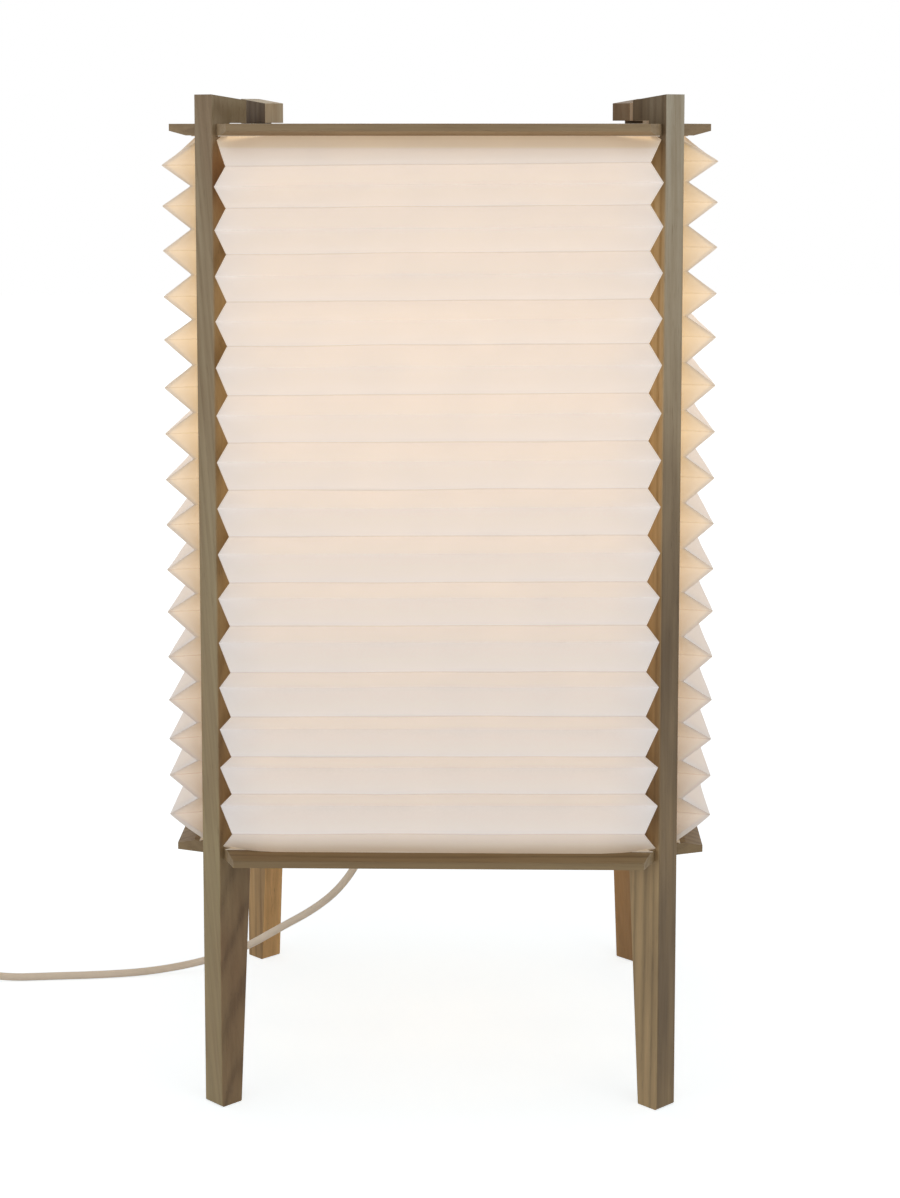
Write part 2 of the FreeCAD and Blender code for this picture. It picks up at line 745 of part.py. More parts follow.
plug_back = plug_tip_x - plug_length
plug_entry = plug_back - plug_boot_length
tail_route = [
    coil_end,
    coil_end + coil_exit * 9.0,
    Vector(plug_entry - 6.0, coil_end.y + 0.4, plug_axis),
    Vector(plug_back + 6.0, coil_end.y + 0.4, plug_axis),
]
tail_wire = tube_path(tail_route, "tail cord")
nodes["tail_cord"] = swept(tail_wire, cord_radius, "tail cord")
free_length = supply_wire.Length + link_wire.Length + coil.Length + tail_wire.Length
through_switch = switch_length - 2 * cord_in_switch
print(f"whole cord: {free_length + through_switch:.0f} mm")


# ---- in-line switch

def switch_half(low, high, closed_at_bottom):
    cx, cy = switch_centre.x, switch_centre.y
    body = box(switch_left, switch_right, cy - switch_width / 2, cy + switch_width / 2, low, high)
    upright = [e for e in body.Edges if abs(e.BoundBox.ZMax - e.BoundBox.ZMin) > (high - low) / 2]
    body = body.makeFillet(6.0, upright)
    outer_level = low if closed_at_bottom else high
    rim = [e for e in body.Edges if abs(e.BoundBox.ZMin - outer_level) < 0.01
           and abs(e.BoundBox.ZMax - outer_level) < 0.01]
    body = body.makeFillet(1.5, rim)
    floor, roof = (low + switch_wall, high) if closed_at_bottom else (low, high - switch_wall)
    hollow = box(switch_left + switch_wall, switch_right - switch_wall,
                 cy - switch_width / 2 + switch_wall, cy + switch_width / 2 - switch_wall, floor, roof)
    hollow = hollow.makeFillet(4.2, [e for e in hollow.Edges
                                     if e.BoundBox.ZMax - e.BoundBox.ZMin > (roof - floor) / 2])
    for side in (-1, 1):
        boss = rod(switch_boss_radius, Vector(cx + side * switch_screw_offset, cy + 8.5 * side, floor),
                   Vector(cx + side * switch_screw_offset, cy + 8.5 * side, roof))
        hollow = hollow.cut(boss)
    body = body.cut(hollow)
    passage = rod(cord_radius + cord_fit, Vector(switch_left - 1, cy, switch_split),
                  Vector(switch_left + cord_in_switch, cy, switch_split))
    body = body.cut(passage)
    passage = rod(cord_radius + cord_fit, Vector(switch_right + 1, cy, switch_split),
                  Vector(switch_right - cord_in_switch, cy, switch_split))
    return body.cut(passage)


sx, sy = switch_centre.x, switch_centre.y
switch_base = switch_half(0.0, switch_split, closed_at_bottom=True)
switch_cover = switch_half(switch_split, switch_height, closed_at_bottom=False)
switch_screws = []
head_height, head_radius = 1.6, 2.4
for side in (-1, 1):
    foot = Vector(sx + side * switch_screw_offset, sy + 8.5 * side, 0)
    neck, tip = foot + UP * head_height, foot + UP * (switch_height - 3.0)
    switch_base = switch_base.cut(rod(switch_screw_radius + screw_clearance, foot, tip))
    switch_base = switch_base.cut(rod(head_radius + screw_clearance, foot, neck))
    switch_cover = switch_cover.cut(rod(switch_screw_radius + screw_clearance, foot, tip))
    sunk = foot + UP * 0.4
    switch_screws.append(rod(switch_screw_radius, neck, tip - UP * 0.3).fuse(rod(head_radius, sunk, neck)))

window_x = rocker_length / 2 + rocker_clearance
window_y = rocker_width / 2 + 0.5
switch_cover = switch_cover.cut(
    box(sx - window_x, sx + window_x, sy - window_y, sy + window_y, switch_split, switch_height))
pivot = Vector(sx, sy, rocker_pivot_height)
cheek = 3.0                  # ears under the cover that hold the rocker's pin
for side in (-1, 1):
    inner_y, outer_y = sorted((sy + side * window_y, sy + side * (window_y + cheek)))
    ear = box(sx - 4, sx + 4, inner_y, outer_y, rocker_pivot_height - 3.0, switch_height - switch_wall / 2)
    switch_cover = switch_cover.fuse(ear)
pin_reach = window_y + cheek
pin_ends = [pivot - Vector(0, pin_reach, 0), pivot + Vector(0, pin_reach, 0)]
switch_cover = switch_cover.cut(rod(rocker_pin_radius, *pin_ends)).removeSplitter()
nodes["rocker_pin"] = rod(rocker_pin_radius, *pin_ends)
nodes["switch_base"] = switch_base
nodes["switch_cover"] = switch_cover
nodes["switch_screws"] = Part.makeCompound(switch_screws)

tilt_fall = rocker_length / 2 * math.tan(math.radians(rocker_tilt))
half = rocker_length / 2
rocker_outline = [
    Vector(-half, -rocker_width / 2, -rocker_drop + 1.0),
    Vector(-half + 2.0, -rocker_width / 2, -rocker_drop),
    Vector(half - 2.0, -rocker_width / 2, -rocker_drop),
    Vector(half, -rocker_width / 2, -rocker_drop + 1.0),
    Vector(half, -rocker_width / 2, rocker_rise + tilt_fall),
    Vector(0, -rocker_width / 2, rocker_rise),
    Vector(-half, -rocker_width / 2, rocker_rise + tilt_fall),
]
rocker = prism(rocker_outline, Vector(0, rocker_width, 0))
rocker_bore = rocker_pin_radius + rocker_pin_clearance
rocker = rocker.cut(rod(rocker_bore, Vector(0, -rocker_width, 0), Vector(0, rocker_width, 0)))
rocker.rotate(Vector(0, 0, 0), Vector(0, 1, 0), -rocker_tilt)
rocker.translate(pivot)
nodes["switch_rocker"] = rocker

contacts = []
for offset in (-13.0, 0.0, 13.0):
    block = box(sx + offset - 4.0, sx + offset + 4.0, sy - 2.5, sy + 2.5, switch_wall, switch_wall + 3.2)
    slit = box(sx + offset - 2.6, sx + offset + 2.6, sy - 2.5, sy + 2.5, switch_wall + 1.0, switch_wall + 2.4)
    contacts.append(block.cut(slit))
nodes["switch_contacts"] = Part.makeCompound(contacts)


# ---- plug

plug_y = coil_end.y + 0.4
plug_body = box(plug_back, plug_tip_x, plug_y - plug_width / 2, plug_y + plug_width / 2, 0, plug_thickness)
waist_cut = 30.0
for side in (-1, 1):
    centre = Vector(plug_back + 12.0, plug_y + side * (plug_width / 2 + waist_cut - 4.0), 0)
    plug_body = plug_body.cut(rod(waist_cut, centre, centre + UP * plug_thickness))
plug_body = plug_body.makeFillet(2.0, [e for e in plug_body.Edges if e.BoundBox.ZMax - e.BoundBox.ZMin > 5])
plug_body = plug_body.cut(rod(cord_radius + cord_fit, Vector(plug_back, plug_y, plug_axis),
                              Vector(plug_back + 6.5, plug_y, plug_axis)))
pins = []
for side in (-1, 1):
    root = Vector(plug_tip_x, plug_y + side * pin_spacing / 2, plug_axis)
    anchor = root - Vector(pin_root_length, 0, 0)
    plug_body = plug_body.cut(rod(pin_root_radius + cord_fit, anchor, root))
    shaft = rod(pin_radius, root, root + Vector(pin_length, 0, 0))
    shaft = shaft.makeFillet(1.2, [e for e in shaft.Edges if e.BoundBox.XMin > root.x + pin_length - 0.1])
    pins.append(shaft.fuse(rod(pin_root_radius, anchor, root)))
nodes["plug_body"] = plug_body
nodes["plug_pins"] = Part.makeCompound(pins)
plug_boot = Part.makeCone(4.2, 6.2, plug_boot_length, Vector(plug_entry, plug_y, plug_axis), Vector(1, 0, 0))
nodes["plug_boot"] = plug_boot.cut(
    rod(cord_radius + cord_fit, Vector(plug_entry, plug_y, plug_axis), Vector(plug_back, plug_y, plug_axis)))


os.makedirs("parts", exist_ok=True)
for name, shape in nodes.items():
    shape.exportStep(os.path.join("parts", f"{name}.step"))
print(len(nodes), "pieces written")
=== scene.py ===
import math

import bpy
from mathutils import Matrix, Vector, noise


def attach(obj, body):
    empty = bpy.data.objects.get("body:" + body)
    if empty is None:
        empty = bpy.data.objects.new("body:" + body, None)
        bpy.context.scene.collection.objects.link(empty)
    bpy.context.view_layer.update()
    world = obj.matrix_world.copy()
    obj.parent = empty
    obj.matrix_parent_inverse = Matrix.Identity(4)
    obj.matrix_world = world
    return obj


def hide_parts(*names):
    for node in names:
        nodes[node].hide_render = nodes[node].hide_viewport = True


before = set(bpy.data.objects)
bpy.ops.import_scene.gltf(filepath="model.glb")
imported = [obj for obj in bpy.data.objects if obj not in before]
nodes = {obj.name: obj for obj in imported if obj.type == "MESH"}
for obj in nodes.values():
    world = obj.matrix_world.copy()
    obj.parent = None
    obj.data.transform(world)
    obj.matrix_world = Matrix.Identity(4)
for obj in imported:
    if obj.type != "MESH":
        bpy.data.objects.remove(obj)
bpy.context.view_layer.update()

# ---- Camera and studio
# The lamp stands on a white table in a white room. The camera looks at it from the front, a little
# below the lamp's top. Daylight comes from a window at the front left, and less from right and above.
camera_place = (0.0383, -1.7964, 0.6817)
looks_down, looks_left = 0.1131, 0.0188
bpy.ops.object.camera_add(location=camera_place, rotation=(math.pi / 2 - looks_down, 0, looks_left))
camera = bpy.context.object
camera.data.lens = 73.45
camera.data.shift_y = -0.1664
bpy.context.scene.camera = camera
bpy.context.scene.view_settings.view_transform = "Standard"


def add_node(tree, kind, **settings):
    """A shader node; settings are its properties, or values of its sockets by name."""
    made = tree.nodes.new("ShaderNode" + kind)
    for name, value in settings.items():
        if hasattr(made, name):
            setattr(made, name, value)
        else:
            made.inputs[name.replace("_", " ")].default_value = value
    return made


def math_node(tree, operation, *values):
    """A number worked out from numbers and sockets."""
    made = add_node(tree, "Math", operation=operation)
    for socket, value in zip(made.inputs, values):
        if isinstance(value, (int, float)):
            socket.default_value = value
        else:
            tree.links.new(value, socket)
    return made.outputs[0]


def ramp_between(tree, value, start, end, low=0.0, high=1.0):
    """low where value is start, high where it is end, and a steady change between them."""
    ranged = add_node(tree, "MapRange", From_Min=start, From_Max=end, To_Min=low, To_Max=high)
    tree.links.new(value, ranged.inputs["Value"])
    return ranged.outputs["Result"]


def seen_directly(tree):
    """1 for what the camera, a mirror or a glass shows, 0 for what lights the lamp."""
    path = add_node(tree, "LightPath").outputs
    direct = math_node(tree, "MAXIMUM", path["Is Camera Ray"], path["Is Glossy Ray"])
    return math_node(tree, "MAXIMUM", direct, path["Is Transmission Ray"])


def new_material(name):
    """A material, its node tree and its shader."""
    made = bpy.data.materials.new(name)
    made.use_nodes = True
    return made, made.node_tree, made.node_tree.nodes["Principled BSDF"]


def place_on(tree):
    """Where a point of the surface lies, in the lamp's own frame."""
    return add_node(tree, "TexCoord").outputs["Object"]


sky_light = 0.45
world = bpy.data.worlds.new("white_room")
world.use_nodes = True
bpy.context.scene.world = world
background = world.node_tree.nodes["Background"]
background.inputs["Color"].default_value = (1.0, 1.0, 1.0, 1.0)
world.node_tree.links.new(
    ramp_between(world.node_tree, seen_directly(world.node_tree), 0, 1, sky_light, 1.0),
    background.inputs["Strength"],
)

daylight = (0.93, 0.99, 1.08)
lamp_middle = Vector((0, 0, 0.35))
for name, place, width, watts in (
    ("window_left", (-1.35, -1.45, 0.15), 1.0, 7.6),
    ("window_right", (1.0, -1.1, 0.65), 1.0, 2.5),
    ("ceiling", (-0.2, 0.1, 2.6), 2.0, 3.2),
):
    bpy.ops.object.light_add(type="AREA", location=place)
    lamp = bpy.context.object
    lamp.name = name
    lamp.data.size = width
    lamp.data.energy = watts
    lamp.data.color = daylight
    lamp.rotation_euler = (lamp_middle - Vector(place)).to_track_quat("-Z", "Y").to_euler()

table_radius, below_feet = 8.0, 0.0002
bpy.ops.mesh.primitive_circle_add(
    vertices=96, radius=table_radius, fill_type="NGON", location=(0, 0, -below_feet))
table_top = bpy.context.object
table_top.name = "table_top"
white, tree, shader = new_material("white_table")
shader.inputs["Base Color"].default_value = (0.66, 0.66, 0.66, 1)
shader.inputs["Roughness"].default_value = 0.9
shader.inputs["Specular IOR Level"].default_value = 0.0
shader.inputs["Emission Color"].default_value = (0.945, 0.985, 1, 1)
from_lamp = add_node(tree, "VectorMath", operation="LENGTH")
tree.links.new(place_on(tree), from_lamp.inputs[0])
near_lamp, far_off = 0.3, 1.2                         # the table fades to plain white between them
lift = ramp_between(tree, from_lamp.outputs["Value"], near_lamp, far_off, 0.735, 1.0)
tree.links.new(math_node(tree, "MULTIPLY", lift, seen_directly(tree)), shader.inputs["Emission Strength"])
table_top.data.materials.append(white)

# ---- Oak boards and plates
# Four planed oak boards on end, and two plates of the same wood let into them. The wood is oiled,
# not stained, with its pores open, and its grain runs along each board's length.


def effect_group(name, inputs, outputs):
    """A node group with named sockets, and the sockets at its two ends."""
    group = bpy.data.node_groups.new(name, "ShaderNodeTree")
    for socket, kind, value in inputs:
        made = group.interface.new_socket(socket, in_out="INPUT", socket_type="NodeSocket" + kind)
        made.default_value = value
    for socket, kind in outputs:
        group.interface.new_socket(socket, in_out="OUTPUT", socket_type="NodeSocket" + kind)
    return group, group.nodes.new("NodeGroupInput").outputs, group.nodes.new("NodeGroupOutput").inputs


def stretched(tree, vector, scale):
    """The vector times scale, axis by axis."""
    made = add_node(tree, "VectorMath", operation="MULTIPLY")
    made.inputs[1].default_value = scale
    tree.links.new(vector, made.inputs[0])
    return made.outputs["Vector"]


def noise_at(tree, vector, scale, detail=3.0, roughness=0.55):
    """Soft noise, scale patches to the metre."""
    made = add_node(tree, "TexNoise", Scale=scale, Detail=detail, Roughness=roughness)
    tree.links.new(vector, made.inputs["Vector"])
    return made.outputs["Fac"]


def mixed(tree, factor, first, second, blend_type="MIX"):
    """A colour between two, each a colour socket or four numbers."""
    made = add_node(tree, "Mix", data_type="RGBA", blend_type=blend_type)
    for socket, value in zip((made.inputs[0], made.inputs[6], made.inputs[7]), (factor, first, second)):
        if isinstance(value, (int, float, tuple)):
            socket.default_value = value
        else:
            tree.links.new(value, socket)
    return made.outputs[2]


def height_in(tree, vector):
    """The vertical part of a vector."""
    parts = add_node(tree, "SeparateXYZ")
    tree.links.new(vector, parts.inputs[0])
    return parts.outputs["Z"]


def fine_relief(tree, height, strength, distance):
    """Bumps of up to distance in the shader's normal."""
    bump = add_node(tree, "Bump", Strength=strength, Distance=distance)
    tree.links.new(height, bump.inputs["Height"])
    tree.links.new(bump.outputs["Normal"], tree.nodes["Principled BSDF"].inputs["Normal"])


oak_grain, given, given_back = effect_group(
    "oak_grain",
    (("Place", "Vector", (0, 0, 0)), ("Pale", "Color", (0.5, 0.4, 0.25, 1)),
     ("Dark", "Color", (0.3, 0.2, 0.1, 1)), ("Heart", "Color", (0.3, 0.18, 0.1, 1)),
     ("Figure", "Float", 0.5), ("Heart And Shade Share", "Float", 0.3)),
    (("Color", "Color"), ("Roughness", "Float"), ("Height", "Float")),
)
rings = add_node(
    oak_grain, "TexWave", wave_type="RINGS", rings_direction="Z", wave_profile="SIN",
    Scale=44.0, Distortion=9.0, Detail=2.0, Detail_Scale=0.55, Detail_Roughness=0.5)


def along_grain(stretch):
    """The place in the wood, drawn out along the grain to 1 / stretch of its length."""
    return stretched(oak_grain, given["Place"], (1, 1, stretch))


oak_grain.links.new(along_grain(0.09), rings.inputs["Vector"])
fibre = noise_at(oak_grain, along_grain(0.022), 640.0, 5.0, 0.7)
streak = noise_at(oak_grain, along_grain(0.05), 170.0, 3.0, 0.6)
patch = noise_at(oak_grain, along_grain(0.22), 34.0, 2.0)
pore = ramp_between(oak_grain, noise_at(oak_grain, along_grain(0.05), 1700.0, 1.0), 0.60, 0.74)
late_wood = math_node(oak_grain, "POWER", rings.outputs["Fac"], 3.0)
pore = math_node(oak_grain, "MULTIPLY", pore, ramp_between(oak_grain, late_wood, 0, 1, 0.45, 1.0))
darker = math_node(oak_grain, "MULTIPLY", late_wood, given["Figure"])
for share, mark in (
    (0.22, ramp_between(oak_grain, fibre, 0.3, 0.7)),
    (0.50, ramp_between(oak_grain, streak, 0.32, 0.68)),
    (0.50, pore),
):
    darker = math_node(oak_grain, "MULTIPLY_ADD", mark, share, darker)
darker = ramp_between(oak_grain, darker, 0.12, 1.15)
colour = mixed(oak_grain, darker, given["Pale"], given["Dark"])
patchy = ramp_between(oak_grain, patch, 0.35, 0.65, -0.5, 0.5)
heart = math_node(oak_grain, "MULTIPLY_ADD", patchy, 0.34, given["Heart And Shade Share"])
heart = ramp_between(oak_grain, heart, 0, 1)
heartwood = mixed(oak_grain, darker, given["Heart"], (0.52, 0.48, 0.45, 1), "MULTIPLY")
oak_grain.links.new(mixed(oak_grain, heart, colour, heartwood), given_back["Color"])
oak_grain.links.new(ramp_between(oak_grain, fibre, 0.3, 0.7, 0.46, 0.62), given_back["Roughness"])
sunk_pores = math_node(oak_grain, "MULTIPLY", pore, -0.8)
oak_grain.links.new(math_node(oak_grain, "MULTIPLY_ADD", fibre, 0.5, sunk_pores), given_back["Height"])


def share_along(tree, height, stops):
    """A share that changes up a board, from (height, share) stops."""
    board_height = 0.7
    ramp = add_node(tree, "ValToRGB")
    tree.links.new(math_node(tree, "DIVIDE", height, board_height), ramp.inputs["Fac"])
    elements = ramp.color_ramp.elements
    elements.remove(elements[1])
    elements[0].position = stops[0][0] / board_height
    elements[0].color = (stops[0][1],) * 3 + (1,)
    for place, share in stops[1:]:
        elements.new(place / board_height).color = (share,) * 3 + (1,)
    return ramp.outputs["Color"]


def oak(name, pale, dark, heart, figure, turn, shift, broad=(0, 0, 1), heart_and_shade_narrow=((0, 0.3),),
        heart_and_shade_broad=((0, 0.3),)):
    """Oiled oak. pale is its colour at the foot and at the head; the change between them is painted light
    and shade, as on the rear boards, whose feet take the lamp's warm light painted in. turn lays the grain
    along the board and shift cuts it from another part of the log. The two heart shares say how much dark
    brown its narrow and broad faces show, from the foot up: partly heartwood, partly painted shade where
    a face lies in shadow, as behind the pleats and at the heads. The broad ones look along broad."""
    made, tree, shader = new_material(name)
    seen = add_node(tree, "TexCoord")
    laid = add_node(tree, "Mapping")
    laid.inputs["Location"].default_value = shift
    laid.inputs["Rotation"].default_value = turn
    tree.links.new(seen.outputs["Object"], laid.inputs["Vector"])
    grain = add_node(tree, "Group", node_tree=oak_grain)
    tree.links.new(laid.outputs["Vector"], grain.inputs["Place"])
    height = height_in(tree, seen.outputs["Object"])
    # painted light and shade: the pale colour goes from the foot's to the head's as the light on the board
    # changes
    upwards = ramp_between(tree, height, 0.20, 0.66)
    tree.links.new(mixed(tree, upwards, (*pale[0], 1), (*pale[1], 1)), grain.inputs["Pale"])
    grain.inputs["Dark"].default_value = (*dark, 1)
    grain.inputs["Heart"].default_value = (*heart, 1)
    facing = add_node(tree, "VectorMath", operation="DOT_PRODUCT")
    facing.inputs[1].default_value = broad
    tree.links.new(seen.outputs["Normal"], facing.inputs[0])
    facing = ramp_between(tree, math_node(tree, "ABSOLUTE", facing.outputs["Value"]), 0.6, 0.9)
    quarter_sawn = 0.35 * figure                      # the narrow faces show straighter, fainter rings
    tree.links.new(ramp_between(tree, facing, 0, 1, quarter_sawn, figure), grain.inputs["Figure"])
    # the darker share by height and by face is partly heartwood, partly painted shade
    shares = [share_along(tree, height, stops) for stops in (heart_and_shade_narrow, heart_and_shade_broad)]
    tree.links.new(mixed(tree, facing, *shares), grain.inputs["Heart And Shade Share"])
    tree.links.new(grain.outputs["Color"], shader.inputs["Base Color"])
    tree.links.new(grain.outputs["Roughness"], shader.inputs["Roughness"])
    shader.inputs["Specular IOR Level"].default_value = 0.35
    fine_relief(tree, grain.outputs["Height"], 0.5, 0.0004)
    return made


one_diagonal, other_diagonal = (0.707, 0.707, 0), (0.707, -0.707, 0)
# Foot and head colours and heart shares by height paint light and shade on each board: the rear feet's orange
# is the lamp's warm light, and the darker bands are partly heartwood, partly painted shade.
for name, pale, dark, heart, figure, turn, shift, broad, narrow_heart_and_shade, broad_heart_and_shade in (
    ("post_front_left",
     ((0.42, 0.325, 0.17), (0.46, 0.37, 0.235)), (0.28, 0.20, 0.10), (0.27, 0.155, 0.075), 0.62,
     (0.092, 0.092, 0.785), (0.070, 0.193, 0.0), other_diagonal,
     ((0.2, 0.15), (0.45, 0.2), (0.69, 0.45)),
     ((0.03, 0.55), (0.12, 0.75), (0.20, 0.6), (0.35, 0.3), (0.50, 0.2), (0.62, 0.5), (0.65, 0.95),
      (0.68, 0.1))),
    ("post_front_right",
     ((0.66, 0.46, 0.235), (0.58, 0.51, 0.375)), (0.33, 0.23, 0.12), (0.20, 0.135, 0.07), 0.40,
     (-0.012, 0.0, -0.785), (-0.05, 0.021, 0.4), one_diagonal,
     ((0.12, 0.8), (0.30, 0.95), (0.45, 0.5), (0.56, 0.25), (0.66, 0.0)),
     ((0.16, 0.22), (0.21, 1.0), (0.30, 0.4), (0.38, 0.0), (0.62, 0.1), (0.67, 0.9))),
    ("post_rear_left",
     ((0.90, 0.56, 0.24), (0.74, 0.62, 0.43)), (0.48, 0.275, 0.105), (0.12, 0.075, 0.038), 0.42,
     (0.0, 0.014, -0.785), (0.03, -0.12, 0.9), one_diagonal,
     ((0.0, 0.0), (0.7, 0.1)),
     ((0.16, 0.40), (0.45, 0.4), (0.66, 1.0))),
    ("post_rear_right",
     ((0.57, 0.32, 0.125), (0.66, 0.53, 0.37)), (0.39, 0.20, 0.07), (0.24, 0.145, 0.07), 0.42,
     (0.015, 0.0, 0.785), (-0.06, -0.03, 1.4), other_diagonal,
     ((0.1, 0.3), (0.45, 0.4), (0.66, 0.85)),
     ((0.16, 0.35), (0.45, 0.3), (0.66, 0.0))),
):
    nodes[name].material_slots[0].material = oak(
        "oak_" + name, pale, dark, heart, figure, turn, shift, broad, narrow_heart_and_shade, broad_heart_and_shade)
plate_figure, plate_turn = 0.5, (0, math.pi / 2, 0)   # a plate's grain runs from side to side
for name, pale, dark, heart, shift in (
    ("top_plate", (0.42, 0.30, 0.165), (0.25, 0.165, 0.085), (0.33, 0.215, 0.11), (0.02, 0.30, 0.03)),
    ("bottom_plate", (0.33, 0.235, 0.12), (0.18, 0.12, 0.055), (0.27, 0.165, 0.075), (0.11, -0.25, 0.2)),
):
    nodes[name].material_slots[0].material = oak(
        "oak_" + name, (pale, pale), dark, heart, plate_figure, plate_turn, shift)

# ---- Pleated paper
# One sheet of strong white paper, creased into sixteen pleats and folded in behind each board, so
# that the four walls run on into each other. It is glued to the plates and glows from the bulb.
paper_top, paper_bottom = 0.6727, 0.1851
paper_thickness = 0.00035
ridge_heights = (
    0.6526, 0.6251, 0.5948, 0.5635, 0.5341, 0.5012, 0.4695, 0.4377,
    0.4064, 0.3750, 0.3456, 0.3139, 0.2835, 0.2559, 0.2302, 0.2024)
corner_lift = (0.0, 1.0, 0.6, 0.3)                  # front left, front right, rear right, rear left
lift_top, lift_bottom = 0.0030, 0.0014              # of the ridges at the front right corner
valley_out, valley_reach = 0.1673, 0.1495           # from the lamp's axis, and half its length
ridge_out, ridge_reach = 0.1883, 0.1395
fold_radius, fold_tuck, fold_across = 0.1909, 0.0030, 0.0111
bow_start, bow_end, bow_depth = 0.105, 0.150, 0.0115    # where the glued ends draw in at the corners
belly, wobble, pleat_crown, drawn_line = 0.0009, 0.0007, 0.0006, 0.0003   # how far the paper is off flat
half_wall = 0.150                                      # how far from its middle a wall hangs free
shelf = 0.0035                                         # the bottom pleat sits out on the lower plate
end_ridge, fold_ridge, fold_share = 0.8, 0.7, 0.8      # how much the ends and folds glow like a ridge


def between(first, second, part):
    """What lies at part of the way from first to second."""
    return first + (second - first) * part


creases = [paper_top]
for ridge, after in zip(ridge_heights, ridge_heights[1:]):
    creases += [ridge, (ridge + after) / 2]
creases += [ridge_heights[-1], paper_bottom]
rows = [(0, 0.0)]
for crease in range(len(creases) - 1):
    rows += [(crease, part) for part in (0.05, 0.28, 0.5, 0.72, 0.95)] + [(crease + 1, 0.0)]
panel_steps, panel_brink = 12, 0.992
half_columns = [("panel", step / panel_steps) for step in range(panel_steps)]
half_columns += [("panel", panel_brink), ("panel", 1.0)]
corner_fold = 0.04                                     # its far side, as a part of the gusset
half_columns += [("gusset", part) for part in (corner_fold, 0.10, 0.4, 0.7, 0.965, 1.0)] + [("behind", 1.0)]
columns = [(kind, -part) for kind, part in reversed(half_columns[1:])] + half_columns
last_crease = len(creases) - 1


def plan_of(kind, part, to_ridge):
    """Where a column crosses a level of the front wall: sideways, and outwards from the axis."""
    side, part = math.copysign(1, part), abs(part)
    reach = between(valley_reach, ridge_reach, to_ridge)
    out = between(valley_out, ridge_out, to_ridge)
    radius = fold_radius - fold_tuck * to_ridge
    behind = Vector((radius - fold_across, radius + fold_across)) / math.sqrt(2)
    corner = Vector((radius, radius)) / math.sqrt(2)
    if kind == "panel":
        place = Vector((reach * part, out))
    elif kind == "gusset":
        place = between(Vector((reach, out)), behind, part)
    else:
        place = between(behind, corner, part)
    return side * place.x, place.y


def height_of(crease, share):
    """A crease's height where the wall's ends are lifted by share of the front right corner's lift."""
    height = creases[crease]
    if 0 < crease < last_crease:
        height += share * between(lift_bottom, lift_top, (height - paper_bottom) / (paper_top - paper_bottom))
    return height


def paper_wall(wall):
    """One wall of the shade: a flat grid, folded along its creases, and turned to its side."""
    bpy.ops.object.select_all(action="DESELECT")
    bpy.ops.mesh.primitive_grid_add(x_subdivisions=len(columns) - 1, y_subdivisions=len(rows) - 1, size=1)
    sheet = bpy.context.object
    mesh = sheet.data
    in_order = sorted(mesh.vertices, key=lambda v: (-round(v.co.y, 6), round(v.co.x, 6)))
    marks = ("crease", "gusset", "ridge", "rim")
    for mark in marks:
        mesh.attributes.new(mark, "FLOAT", "POINT")
    crease_mark, gusset_mark, ridge_mark, rim_mark = [mesh.attributes[mark].data for mark in marks]
    turn = Matrix.Rotation(wall * math.pi / 2, 4, "Z")
    left_lift, right_lift = corner_lift[wall], corner_lift[(wall + 1) % 4]
    for number, vertex in enumerate(in_order):
        crease, part = rows[number // len(columns)]
        kind, across = columns[number % len(columns)]
        on_panel, on_crease = kind == "panel", part == 0
        at_end = crease in (0, last_crease - 1, last_crease)
        to_ridge = between(crease % 2, (crease + 1) % 2, part)
        x, out = plan_of(kind, across, to_ridge)
        share = between(left_lift, right_lift, min(max(x / (2 * half_wall) + 0.5, 0), 1))
        height = height_of(crease, share)
        if part:
            height = between(height, height_of(crease + 1, share), part)
        if on_panel:                                   # each wall and each crease bends in its own way
            loose = max(0.0, 1 - (abs(x) / half_wall) ** 4)
            wave = noise.noise(Vector((x * 11, height * 16, wall * 7.3)))
            crown = pleat_crown * math.sin(math.pi * part) * (1 if crease % 2 else -1)
            out += loose * (belly * wave + crown)
            if 0 < crease < last_crease or part:
                height += loose * wobble * noise.noise(Vector((x * 15, crease * 3.1, wall * 5.7 + 2)))
        if on_crease and on_panel:
            out += drawn_line if crease % 2 == 0 else -drawn_line
        end_row = 1 - to_ridge if at_end else 0
        if on_panel and end_row > 0:
            bow = min(max((abs(x) - bow_start) / (bow_end - bow_start), 0), 1) ** 2 * bow_depth
            out += end_row * ((shelf if crease > 1 else 0.0) - bow)
        if kind == "gusset" and end_row > 0:
            out -= end_row * bow_depth * (1 - abs(across))
        vertex.co = turn @ Vector((x, -out, height))
        at_fold = abs(across) == 1.0 if on_panel else kind == "gusset" and abs(across) in (corner_fold, 1.0)
        ridge = max(to_ridge, end_ridge) if at_end else to_ridge
        crease_mark[vertex.index].value = 1.0 if on_crease and crease % 2 == 1 else 0.0
        rim_mark[vertex.index].value = 1.0 if at_fold else 0.0
        ridge_mark[vertex.index].value = ridge if on_panel else between(ridge, fold_ridge, fold_share)
        gusset_mark[vertex.index].value = 0.0 if on_panel and abs(across) < 1 else 1.0
    return sheet


walls = [paper_wall(wall) for wall in range(4)]
bpy.ops.object.select_all(action="DESELECT")
for wall in walls:
    wall.select_set(True)
bpy.context.view_layer.objects.active = walls[0]
bpy.ops.object.join()
shade = bpy.context.object
shade.name = "paper_shade"
bpy.ops.object.mode_set(mode="EDIT")
bpy.ops.mesh.select_all(action="SELECT")
bpy.ops.mesh.remove_doubles(threshold=0.00005)
bpy.ops.mesh.normals_make_consistent(inside=False)
bpy.ops.object.mode_set(mode="OBJECT")
thick = shade.modifiers.new("paper", "SOLIDIFY")
thick.thickness = paper_thickness
thick.offset = -1
bpy.ops.object.modifier_apply(modifier=thick.name)
bpy.ops.object.shade_smooth_by_angle(angle=math.radians(14))

